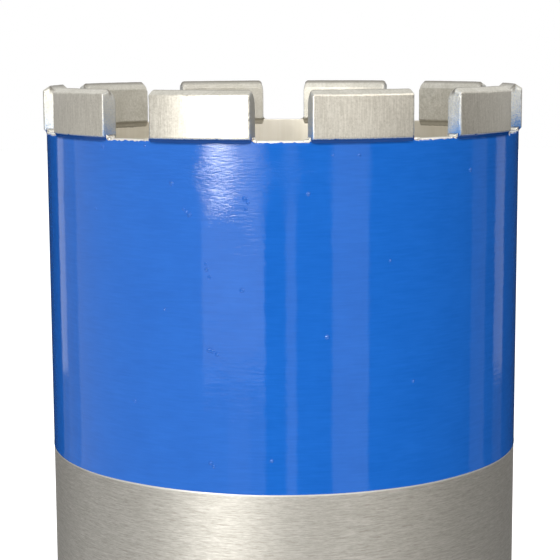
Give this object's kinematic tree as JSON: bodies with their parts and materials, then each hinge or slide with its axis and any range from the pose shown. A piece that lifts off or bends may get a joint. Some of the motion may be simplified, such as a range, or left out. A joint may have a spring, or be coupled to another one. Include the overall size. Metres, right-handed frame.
{
  "type": "diamond core bit",
  "caption": "Long steel core drill barrel with brazed diamond segments round its open rim, a painted crown end and a hexagonal threaded hub at the back.",
  "frame": {"origin": "centre of the hub's end face, on which the bit stands", "axes": "+Z along the drilling axis, from the hub to the crown; the gap between two segments is centred on -Y"},
  "size_m": [0.12, 0.1192, 0.494],
  "materials": {
    "barrel_steel": "brushed round the tube with a fine belt",
    "paint": "glossy, with dust specks and fine wrinkles under the crown",
    "segment_metal": "sintered, ground on the outer face, with overspray at the foot",
    "braze_metal": "oversprayed with the paint outside, bare and dull inside",
    "turned_steel": "turned, lightly oiled",
    "weld_metal": "as welded, with fine ripples"
  },
  "bodies": {
    "root": {"barrel": "barrel_steel", "paint_coat": "paint", "back_plate": "turned_steel", "barrel_weld": "weld_metal", "hub": "turned_steel", "hub_weld": "weld_metal", "segment_01": "segment_metal", "segment_02": "segment_metal", "segment_03": "segment_metal", "segment_04": "segment_metal", "segment_05": "segment_metal", "segment_06": "segment_metal", "segment_07": "segment_metal", "segment_08": "segment_metal", "segment_09": "segment_metal", "segment_10": "segment_metal", "braze_01": "braze_metal", "braze_02": "braze_metal", "braze_03": "braze_metal", "braze_04": "braze_metal", "braze_05": "braze_metal", "braze_06": "braze_metal", "braze_07": "braze_metal", "braze_08": "braze_metal", "braze_09": "braze_metal", "braze_10": "braze_metal"}
  },
  "joints": []
}
